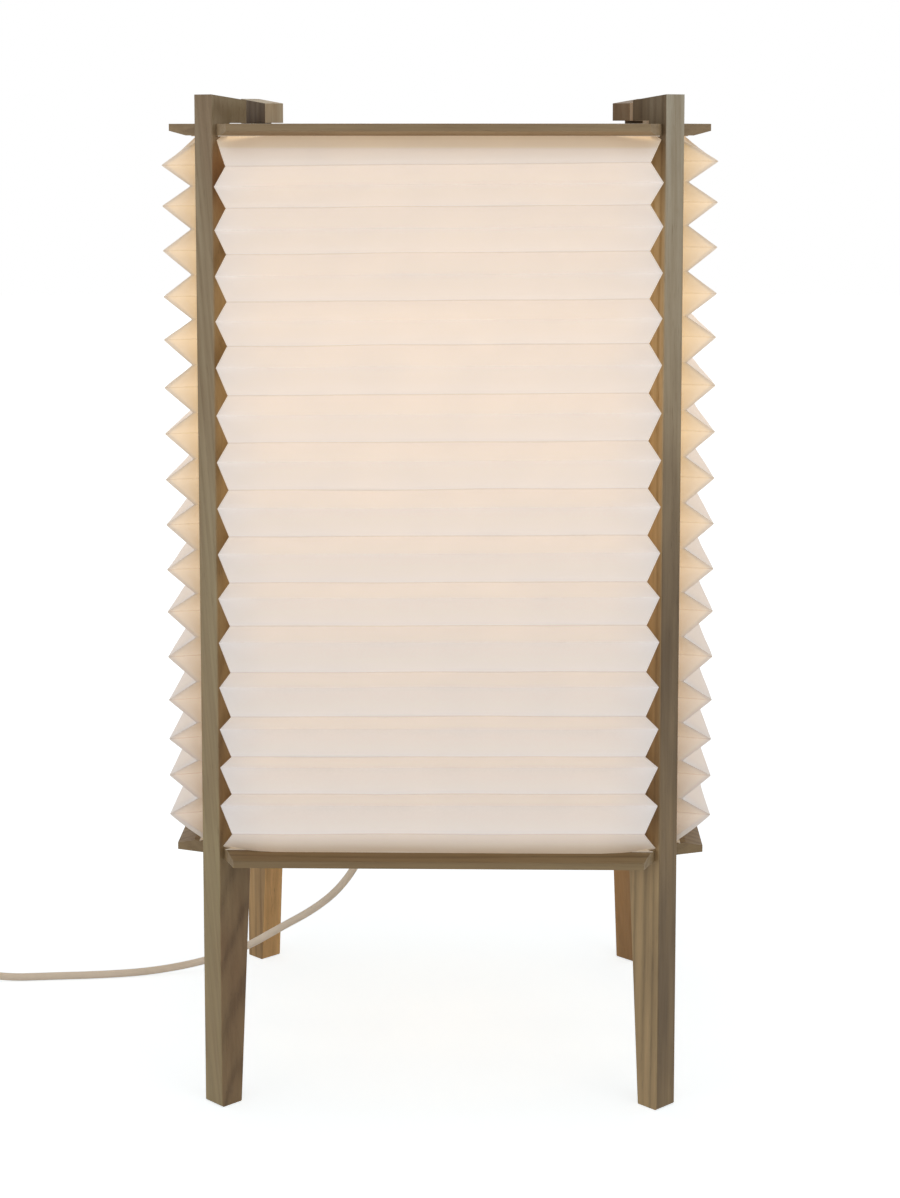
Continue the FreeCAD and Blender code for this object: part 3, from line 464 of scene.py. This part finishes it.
lamp_glow, given, given_back = effect_group(
    "lamp_glow",
    (("Place", "Vector", (0, 0, 0)), ("Facing", "Vector", (0, 0, 0)), ("Crease", "Float", 0.0),
     ("Gusset", "Float", 0.0), ("Ridge", "Float", 0.5), ("Rim", "Float", 0.0),
     ("Warm", "Color", (1.0, 0.7, 0.3, 1)), ("Deep", "Color", (1.0, 0.6, 0.2, 1))),
    (("Glow", "Color"), ("Fibres", "Float"), ("Daylit", "Float")),
)


def glow_ramp(value, start, end, low=0.0, high=1.0):
    """low where value is start, high where it is end, within the paper's glow."""
    return ramp_between(lamp_glow, value, start, end, low, high)


def product(first, *others):
    """Numbers and sockets multiplied, within the paper's glow."""
    for other in others:
        first = math_node(lamp_glow, "MULTIPLY", first, other)
    return first


brightest = Vector((0, 0, 0.52))                       # most of the bulb's light goes upwards
wall_distance, fall_off = 0.178, 1.3
from_bulb, from_inside = 0.20, 0.165                   # light straight from the bulb, and thrown about
to_bulb = add_node(lamp_glow, "VectorMath", operation="SUBTRACT")
to_bulb.inputs[0].default_value = brightest
lamp_glow.links.new(given["Place"], to_bulb.inputs[1])
leaning = add_node(lamp_glow, "VectorMath", operation="DOT_PRODUCT")
lamp_glow.links.new(to_bulb.outputs["Vector"], leaning.inputs[0])
lamp_glow.links.new(given["Facing"], leaning.inputs[1])
away = add_node(lamp_glow, "SeparateXYZ")
lamp_glow.links.new(to_bulb.outputs["Vector"], away.inputs[0])
sides = [math_node(lamp_glow, "ABSOLUTE", away.outputs[axis]) for axis in "XY"]
sideways = math_node(lamp_glow, "MINIMUM", *sides)
outwards = add_node(lamp_glow, "CombineXYZ")
lamp_glow.links.new(math_node(lamp_glow, "MAXIMUM", *sides), outwards.inputs["X"])
lamp_glow.links.new(product(sideways, 0.5), outwards.inputs["Y"])
lamp_glow.links.new(away.outputs["Z"], outwards.inputs["Z"])
distance = add_node(lamp_glow, "VectorMath", operation="LENGTH")
lamp_glow.links.new(outwards.outputs["Vector"], distance.inputs[0])
distance = distance.outputs["Value"]
slant = math_node(lamp_glow, "DIVIDE", leaning.outputs["Value"], distance)
slant = math_node(lamp_glow, "MAXIMUM", product(slant, -1.0), 0.0)
nearness = math_node(lamp_glow, "DIVIDE", wall_distance, distance)
nearness = math_node(lamp_glow, "POWER", nearness, fall_off)
level = product(nearness, glow_ramp(slant, 0, 1, 0.92, 1.1))
level = math_node(lamp_glow, "MULTIPLY_ADD", level, from_bulb, from_inside)

height = height_in(lamp_glow, given["Place"])
upwards = height_in(lamp_glow, given["Facing"])
on_panel = math_node(lamp_glow, "SUBTRACT", 1.0, given["Gusset"])
slope = product(upwards, glow_ramp(height, 0.26, 0.56, -0.22, -0.07), on_panel)
near_corner = product(glow_ramp(sideways, 0.116, 0.146), on_panel)
# Painted daylight: up-facing slopes near the ridges, and the paper near the corners, are given a whiter
# colour and glow less.
daylit = product(
    glow_ramp(upwards, 0.3, 0.8), math_node(lamp_glow, "POWER", given["Ridge"], 2.0), on_panel)
daylit = math_node(lamp_glow, "MAXIMUM", daylit, product(near_corner, 0.8))
lamp_glow.links.new(daylit, given_back["Daylit"])
# painted shade: near the corner boards the paper glows less, most towards the bottom
painted_corner_shade = product(near_corner, glow_ramp(height, 0.25, 0.55, 0.22, 0.06))
fibres = noise_at(lamp_glow, given["Place"], 420.0, 4.0, 0.65)
cloud = noise_at(lamp_glow, given["Place"], 34.0, 2.0)
lamp_glow.links.new(fibres, given_back["Fibres"])
level = product(
    level,
    glow_ramp(given["Ridge"], 0, 1, 0.58, 1.16),       # a valley is shaded by its own pleats
    math_node(lamp_glow, "ADD", slope, 1.0),           # a slope that looks up glows less
    glow_ramp(daylit, 0, 1, 1.0, 0.88),
    math_node(lamp_glow, "SUBTRACT", 1.0, painted_corner_shade),
    math_node(lamp_glow, "MULTIPLY_ADD", given["Gusset"], glow_ramp(height, 0.24, 0.46, 0.02, 0.20), 1.0),
    glow_ramp(height, 0.635, 0.660, 1.0, 1.10),        # painted light, lifting the upper plate's shadow below its edge
    glow_ramp(height, 0.662, 0.666, 1.0, 0.76),        # painted shadow of the upper plate
    glow_ramp(height, 0.186, 0.199, 0.5, 1.0),         # painted shade where the paper meets the lower plate
    glow_ramp(given["Rim"], 0, 1, 1.0, 0.6),           # less comes through the corner folds
    glow_ramp(fibres, 0.2, 0.8, 0.96, 1.04),
    glow_ramp(cloud, 0.2, 0.8, 0.93, 1.07),
    # the ridges glow less: a painted shade line
    glow_ramp(given["Crease"], 0, 1, 1.0, 0.82),
)
deeper = product(given["Gusset"], glow_ramp(height, 0.24, 0.46, 0.0, 1.0))
hue = mixed(lamp_glow, deeper, given["Warm"], given["Deep"])
lamp_glow.links.new(mixed(lamp_glow, level, (0, 0, 0, 1), hue), given_back["Glow"])

paper, tree, shader = new_material("white_paper")
shader.inputs["Roughness"].default_value = 0.85
shader.inputs["Specular IOR Level"].default_value = 0.2
shader.inputs["Emission Strength"].default_value = 1.0
glow = add_node(tree, "Group", node_tree=lamp_glow)
glow.inputs["Warm"].default_value = (1.0, 0.655, 0.335, 1)
glow.inputs["Deep"].default_value = (1.0, 0.64, 0.24, 1)
tree.links.new(place_on(tree), glow.inputs["Place"])
tree.links.new(add_node(tree, "NewGeometry").outputs["Normal"], glow.inputs["Facing"])
for mark in ("Crease", "Gusset", "Ridge", "Rim"):
    attribute = add_node(tree, "Attribute", attribute_name=mark.lower())
    tree.links.new(attribute.outputs["Fac"], glow.inputs[mark])
tree.links.new(glow.outputs["Glow"], shader.inputs["Emission Color"])
# Painted light on the paper: the first colour is the whiter paper where daylight falls, the second the
# darker, warmer band where the plates shade it.
daylit_paper, plate_shaded_paper = (0.90, 0.915, 0.94, 1), (0.84, 0.79, 0.70, 1)
# painted shade: a thin grey line along each ridge
ridge_shade_line = (0.62, 0.62, 0.64, 1)
sheet_colour = mixed(tree, glow.outputs["Fibres"], (0.81, 0.815, 0.825, 1), (0.86, 0.865, 0.88, 1))
# painted daylight: a whiter colour where daylight falls
sheet_colour = mixed(tree, glow.outputs["Daylit"], sheet_colour, daylit_paper)
height = height_in(tree, place_on(tree))
# painted shade: a band just under the upper plate, and at the foot where the paper meets the lower plate
plate_shade_band = math_node(
    tree, "ADD", ramp_between(tree, height, 0.6640, 0.6655), ramp_between(tree, height, 0.197, 0.186))
sheet_colour = mixed(tree, plate_shade_band, sheet_colour, plate_shaded_paper)
crease = add_node(tree, "Attribute", attribute_name="crease")
ridge_shade_share = math_node(tree, "MULTIPLY", crease.outputs["Fac"], 0.6)
tree.links.new(mixed(tree, ridge_shade_share, sheet_colour, ridge_shade_line), shader.inputs["Base Color"])
fine_relief(tree, glow.outputs["Fibres"], 0.25, 0.0001)
shade.data.materials.clear()
shade.data.materials.append(paper)
nodes["shade_glue_flaps"].material_slots[0].material = paper
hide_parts("pleated_shade")
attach(shade, "lamp")

# ---- Bridge, stem and hub
# A zinc-plated steel strip is screwed across the lower plate's opening. A threaded stem goes through
# it, held by nuts and washers, with a moulded side-outlet hub and a ribbed cord boot below.
worked_metal, given, given_back = effect_group(
    "worked_metal",
    (("Place", "Vector", (0, 0, 0)), ("Tint", "Color", (0.6, 0.6, 0.6, 1)), ("Lay", "Vector", (1, 1, 1)),
     ("Shine", "Float", 0.3)),
    (("Color", "Color"), ("Roughness", "Float"), ("Height", "Float")),
)
along_lay = add_node(worked_metal, "VectorMath", operation="MULTIPLY")
worked_metal.links.new(given["Place"], along_lay.inputs[0])
worked_metal.links.new(given["Lay"], along_lay.inputs[1])
scratch = noise_at(worked_metal, along_lay.outputs["Vector"], 900.0, 3.0, 0.6)
stain = noise_at(worked_metal, given["Place"], 90.0, 3.0)
stained = ramp_between(worked_metal, stain, 0.35, 0.75, 0, 0.35)
dulled = mixed(worked_metal, stained, given["Tint"], (0.28, 0.27, 0.25, 1))
worked_metal.links.new(dulled, given_back["Color"])
rough = given["Shine"]
for mark, share in ((ramp_between(worked_metal, scratch, 0.3, 0.7), 0.16),
                    (ramp_between(worked_metal, stain, 0.4, 0.7), 0.12)):
    rough = math_node(worked_metal, "MULTIPLY_ADD", mark, share, rough)
worked_metal.links.new(rough, given_back["Roughness"])
worked_metal.links.new(scratch, given_back["Height"])

moulded, given, given_back = effect_group(
    "moulded",
    (("Place", "Vector", (0, 0, 0)), ("Tint", "Color", (0.8, 0.8, 0.8, 1)), ("Grain", "Float", 1500.0),
     ("Matt", "Float", 0.5)),
    (("Color", "Color"), ("Roughness", "Float"), ("Height", "Float")),
)
spark = add_node(moulded, "TexNoise", Detail=2.0, Roughness=0.6)
moulded.links.new(given["Place"], spark.inputs["Vector"])
moulded.links.new(given["Grain"], spark.inputs["Scale"])
cloud = noise_at(moulded, given["Place"], 60.0, 2.0)
handled = noise_at(moulded, given["Place"], 160.0, 4.0, 0.6)
shaded = mixed(moulded, 1.0, given["Tint"], (0.93, 0.92, 0.90, 1), "MULTIPLY")
moulded.links.new(
    mixed(moulded, ramp_between(moulded, cloud, 0.3, 0.7), shaded, given["Tint"]), given_back["Color"])
rough = math_node(moulded, "MULTIPLY_ADD", ramp_between(moulded, handled, 0.35, 0.65), -0.10, given["Matt"])
moulded.links.new(rough, given_back["Roughness"])
moulded.links.new(spark.outputs["Fac"], given_back["Height"])


def surfaced(name, group, relief=0.3, metallic=0.0, **values):
    """A material whose colour, roughness and fine relief come from a group."""
    made, tree, shader = new_material(name)
    shader.inputs["Metallic"].default_value = metallic
    look = add_node(tree, "Group", node_tree=group)
    tree.links.new(place_on(tree), look.inputs["Place"])
    for socket, value in values.items():
        look.inputs[socket].default_value = value
    tree.links.new(look.outputs["Color"], shader.inputs["Base Color"])
    tree.links.new(look.outputs["Roughness"], shader.inputs["Roughness"])
    fine_relief(tree, look.outputs["Height"], relief, 0.0001)
    return made


def cover(material, *names):
    """Finish pieces that keep the shape they have in the CAD."""
    for name in names:
        nodes[name].material_slots[0].material = material


def turned_piece(name, profile, start, way, segments=48):
    """A hollow or solid turned shape: a circle extruded through (height, radius) along way, closed
    into a ring where its last point is its first."""
    bpy.ops.object.select_all(action="DESELECT")
    bpy.ops.mesh.primitive_circle_add(vertices=segments, radius=profile[0][1], location=(0, 0, 0))
    made = bpy.context.object
    made.name = name
    bpy.ops.object.mode_set(mode="EDIT")
    bpy.ops.mesh.select_all(action="SELECT")
    bpy.ops.transform.translate(value=(0, 0, profile[0][0]))
    for (height, radius), (next_height, next_radius) in zip(profile, profile[1:]):
        bpy.ops.mesh.extrude_region_move(TRANSFORM_OT_translate={"value": (0, 0, next_height - height)})
        share = next_radius / radius
        bpy.ops.transform.resize(value=(share, share, 1), center_override=(0, 0, next_height))
    bpy.ops.mesh.select_all(action="SELECT")
    bpy.ops.mesh.remove_doubles(threshold=0.000002)
    bpy.ops.mesh.normals_make_consistent(inside=False)
    bpy.ops.object.mode_set(mode="OBJECT")
    made.matrix_world = Matrix.Translation(start) @ Vector(way).to_track_quat("Z", "Y").to_matrix().to_4x4()
    bpy.ops.object.transform_apply(location=True, rotation=True, scale=True)
    bpy.ops.object.shade_smooth_by_angle(angle=math.radians(35))
    return made


def ribbed_boot(root, tip, length, ribs, groove):
    """The profile of a strain relief: flexible ribs with grooves between, round the cord's bore."""
    bore, collar, soft_edge = 0.00305, 0.22 * length, 0.0004
    one_rib = ((0.12, groove), (0.38, groove), (0.5, 0.0), (0.94, 0.0))   # parts of a pitch, and depths
    profile = [(0.0, bore), (0.0, root - soft_edge), (soft_edge, root)]
    profile += [(collar - soft_edge, root), (collar, root - soft_edge)]
    pitch = (length - collar) / ribs
    for rib in range(ribs):
        low = collar + rib * pitch
        radius = root + (tip - root) * (low + pitch / 2) / length
        profile += [(low + part * pitch, radius - depth) for part, depth in one_rib]
    return profile + [(length, tip - soft_edge), (length, bore), (0.0, bore)]


zinc = surfaced(
    "zinc_plate", worked_metal, 0.25, 1.0, Tint=(0.64, 0.64, 0.61, 1), Lay=(0.08, 1, 1), Shine=0.28)
cover(zinc, "lamp_bridge", "stem_nuts", "stem_washers", "bridge_screws", "switch_screws", "rocker_pin")

threaded = surfaced(
    "threaded_stem", worked_metal, 0.2, 1.0, Tint=(0.62, 0.62, 0.6, 1), Lay=(1, 1, 1), Shine=0.3)
tree = threaded.node_tree
thread_turns = add_node(tree, "TexWave", wave_type="BANDS", bands_direction="Z", Scale=314.0)
tree.links.new(place_on(tree), thread_turns.inputs["Vector"])
fine_relief(tree, thread_turns.outputs["Fac"], 0.9, 0.0005)
cover(threaded, "stem_tube")

beige = surfaced("beige_plastic", moulded, 0.35, Tint=(0.72, 0.64, 0.54, 1), Grain=1400.0, Matt=0.52)
cover(beige, "cord_hub")

hub_outlet = Vector((0, 0, 0.1706))
outlet_way = Vector((-0.76, 0.65, 0)).normalized()
boot_length = 0.0180
hub_face, boot_end = 0.0126, 0.031                     # the boot's two ends, out along the outlet
soft_beige = surfaced("soft_beige", moulded, 0.4, Tint=(0.66, 0.57, 0.47, 1), Grain=1100.0, Matt=0.62)
hub_boot = turned_piece(
    "hub_cord_boot", ribbed_boot(0.0064, 0.0043, boot_length, 5, 0.0009),
    hub_outlet + outlet_way * hub_face, outlet_way)
hub_boot.data.materials.append(soft_beige)
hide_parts("cord_boot")
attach(hub_boot, "lamp")

# ---- Lampholder and its two cores
# A white moulded cap and shell on the stem, with a ceramic insert, a brass screw shell, and the
# brown-insulated cores that run up the stem to its terminal screws.
white_plastic = surfaced("white_plastic", moulded, 0.25, Tint=(0.84, 0.82, 0.78, 1), Grain=1600.0, Matt=0.42)
cover(white_plastic, "holder_cap", "holder_shell")
ceramic = surfaced("ceramic", moulded, 0.15, Tint=(0.88, 0.86, 0.82, 1), Grain=900.0, Matt=0.40)
cover(ceramic, "holder_insert", "bulb_insulator")
brass = surfaced("brass", worked_metal, 0.3, 1.0, Tint=(0.80, 0.60, 0.28, 1), Lay=(1, 1, 0.1), Shine=0.24)
cover(brass, "holder_screw_shell", "centre_contact", "terminal_screws", "switch_contacts")
insulation = surfaced("core_insulation", moulded, 0.2, Tint=(0.30, 0.15, 0.08, 1), Grain=1300.0, Matt=0.45)
cover(insulation, "core_wires")

# ---- Bulb
# An opal LED globe on a white plastic collar, with a nickel-plated screw cap. It is lit.
nickel = surfaced("nickel", worked_metal, 0.2, 1.0, Tint=(0.72, 0.71, 0.68, 1), Lay=(1, 1, 0.15), Shine=0.16)
cover(nickel, "bulb_cap", "bulb_contact")
cover(white_plastic, "bulb_collar")
cover(surfaced("circuit_board", moulded, 0.2, Tint=(0.82, 0.84, 0.78, 1), Grain=700.0, Matt=0.5),
      "led_board", "driver_board")

globe_middle, globe_radius, globe_wall = 0.4805, 0.0300, 0.0010
neck_height, neck_radius = 0.4475, 0.0170
neck_length, neck_flare = 0.0060, 0.0018
outside = [(neck_height, neck_radius), (neck_height + neck_length, neck_radius + neck_flare)]
lowest_turn, highest_turn, steps = -42, 89.4, 30       # degrees of the globe's outline
for step in range(steps + 1):
    angle = math.radians(lowest_turn + (highest_turn - lowest_turn) * step / steps)
    outside.append((globe_middle + globe_radius * math.sin(angle), globe_radius * math.cos(angle)))
globe = turned_piece("opal_globe", outside, (0, 0, 0), (0, 0, 1), segments=64)
bpy.ops.object.mode_set(mode="EDIT")
bpy.ops.mesh.select_all(action="DESELECT")
bpy.ops.mesh.select_non_manifold(extend=False, use_boundary=True)
bpy.ops.object.mode_set(mode="OBJECT")
for vertex in globe.data.vertices:
    if vertex.co.z < globe_middle:
        vertex.select = False
for edge in globe.data.edges:
    edge.select = all(globe.data.vertices[v].select for v in edge.vertices)
bpy.ops.object.mode_set(mode="EDIT")
bpy.ops.mesh.merge(type="CENTER")
bpy.ops.object.mode_set(mode="OBJECT")
wall = globe.modifiers.new("wall", "SOLIDIFY")
wall.thickness = globe_wall
wall.offset = -1
bpy.ops.object.modifier_apply(modifier=wall.name)
bpy.ops.object.shade_smooth_by_angle(angle=math.radians(35))

lit, tree, shader = new_material("lit_opal")
shader.inputs["Base Color"].default_value = (0.55, 0.53, 0.50, 1)
lights, looks = 12.0, 0.55                             # it lights the paper more than it dazzles
strength = ramp_between(tree, seen_directly(tree), 0, 1, lights, looks)
tree.links.new(strength, shader.inputs["Emission Strength"])
shader.inputs["Coat Weight"].default_value = 0.4
opal = add_node(tree, "Group", node_tree=moulded)
tree.links.new(place_on(tree), opal.inputs["Place"])
opal.inputs["Tint"].default_value = (1.0, 0.76, 0.47, 1)
opal.inputs["Matt"].default_value = 0.38
tree.links.new(opal.outputs["Color"], shader.inputs["Emission Color"])
tree.links.new(opal.outputs["Roughness"], shader.inputs["Roughness"])
globe.data.materials.append(lit)
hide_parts("bulb_globe")
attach(globe, "bulb")

# ---- Cord
# A round two-core lead with a beige PVC jacket, six millimetres thick. It leaves the hub under the
# lower plate, lies on the table to the switch, and what is left is coiled beside it.
cord_diameter = 0.006
cord_height = 0.00305        # of its centre line where it lies on the table
switch_middle = Vector((-0.430, 0.082, 0.0085))


def lay_cord(name, points):
    """A cord along one smooth spline that the points pull on."""
    line = bpy.data.curves.new(name, "CURVE")
    line.dimensions = "3D"
    spline = line.splines.new("NURBS")
    spline.points.add(len(points) - 1)
    for point, place in zip(spline.points, points):
        point.co = (*place, 1)
    spline.order_u = 3
    spline.use_endpoint_u = True
    spline.resolution_u = 8
    line.bevel_depth = cord_diameter / 2
    line.bevel_resolution = 5
    line.use_fill_caps = True
    laid = bpy.data.objects.new(name, line)
    bpy.context.collection.objects.link(laid)
    return laid


supply_points = [
    hub_outlet + outlet_way * 0.0047,
    hub_outlet + outlet_way * 0.0460,
    Vector((-0.0545, 0.0405, 0.1470)),
    Vector((-0.0660, 0.0475, 0.1130)),
    Vector((-0.0830, 0.0585, 0.0855)),
    Vector((-0.1050, 0.0735, 0.0635)),
    Vector((-0.1330, 0.0925, 0.0425)),
    Vector((-0.1630, 0.1070, 0.0205)),
    Vector((-0.2000, 0.1120, 0.0065)),
    Vector((-0.2380, 0.1000, cord_height)),
    Vector((-0.2770, 0.0915, cord_height)),
    Vector((-0.3170, 0.0875, cord_height)),
    Vector((-0.3520, 0.0835, cord_height)),
    Vector((-0.3780, switch_middle.y, switch_middle.z)),
    Vector((-0.4080, switch_middle.y, switch_middle.z)),
]
supply = lay_cord("cord_to_switch", supply_points)

coil_middle = Vector((-0.463, 0.005, cord_height))
coil_radius = 0.042
turn_spacing = 0.0066
lower_turns, climb, upper_turns = 2.5, 0.5, 2.25
steps_per_turn = 16
pull_in = (6 + 2 * math.cos(2 * math.pi / steps_per_turn)) / 8   # how far a spline cuts the corners


def coil_place(turn):
    """The coil's line: inwards below, up and back in half a turn, outwards above."""
    innermost = coil_radius - turn_spacing * lower_turns
    if turn < lower_turns:
        radius, lift = coil_radius - turn_spacing * turn, 0.0
    elif turn < lower_turns + climb:
        part = (turn - lower_turns) / climb
        radius = innermost - turn_spacing / 2 * part * (1 - part)
        lift = part**2 * (3 - 2 * part)
    else:
        radius, lift = innermost + turn_spacing * (turn - lower_turns - climb), 1.0
    angle = math.pi + 2 * math.pi * turn
    around = Vector((math.cos(angle), math.sin(angle), 0)) * radius / pull_in
    return coil_middle + around + Vector((0, 0, lift * turn_spacing))


def coil_way(turn):
    """Which way the coil's line runs there, level."""
    step = coil_place(turn + 1e-4) - coil_place(turn - 1e-4)
    return Vector((step.x, step.y, 0)).normalized()


all_turns = lower_turns + climb + upper_turns
coil_steps = int(all_turns * steps_per_turn)
coil_in = coil_middle + Vector((-coil_radius, 0, 0)) - coil_way(0) * cord_diameter
last_radius = coil_radius - turn_spacing * lower_turns + turn_spacing * upper_turns
coil_out = coil_middle + Vector((0, -last_radius, turn_spacing)) + coil_way(all_turns) * cord_diameter
plug_axis = Vector((-0.372, coil_out.y + 0.0004, 0.0068))
plug_back = plug_axis + Vector((-0.033, 0, 0))
boot_tip = plug_back + Vector((-boot_length, 0, 0))
plug_points = [
    Vector((-0.4520, switch_middle.y, switch_middle.z)),
    Vector((-0.4794, switch_middle.y, switch_middle.z)),
    Vector((-0.4956, 0.0726, 0.0052)),
    Vector((-0.5044, 0.0564, cord_height)),
    coil_in - coil_way(0) * 0.022,
]
plug_points += [coil_place((step + 0.5) / steps_per_turn) for step in range(coil_steps)]
plug_points += [
    coil_out + coil_way(all_turns) * 0.009,
    boot_tip + Vector((-0.006, 0, 0)),
    plug_back + Vector((0.006, 0, 0)),
]
lead = lay_cord("cord_to_plug", plug_points)

jacket = surfaced("cord_jacket", moulded, 0.3, Tint=(0.98, 0.825, 0.645, 1), Grain=1000.0, Matt=0.5)
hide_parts("supply_cord")
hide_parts("link_cord", "cord_coil", "tail_cord")
for piece in (supply, lead):
    piece.data.materials.append(jacket)
    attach(piece, "lamp")

# ---- In-line switch and plug
# A two-part moulded housing, screwed together from below, with a rocker on a steel pin. The flat
# plug is moulded in the same plastic, with two nickel-plated pins and a ribbed boot.
cover(beige, "switch_base", "switch_cover", "plug_body")
rocker_plastic = surfaced("rocker_plastic", moulded, 0.2, Tint=(0.80, 0.73, 0.63, 1), Grain=1500.0, Matt=0.36)
cover(rocker_plastic, "switch_rocker")
cover(nickel, "plug_pins")
plug_boot = turned_piece(
    "plug_cord_boot", ribbed_boot(0.0062, 0.0042, boot_length, 5, 0.0009), plug_back, (-1, 0, 0))
plug_boot.data.materials.append(soft_beige)
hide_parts("plug_boot")
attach(plug_boot, "lamp")
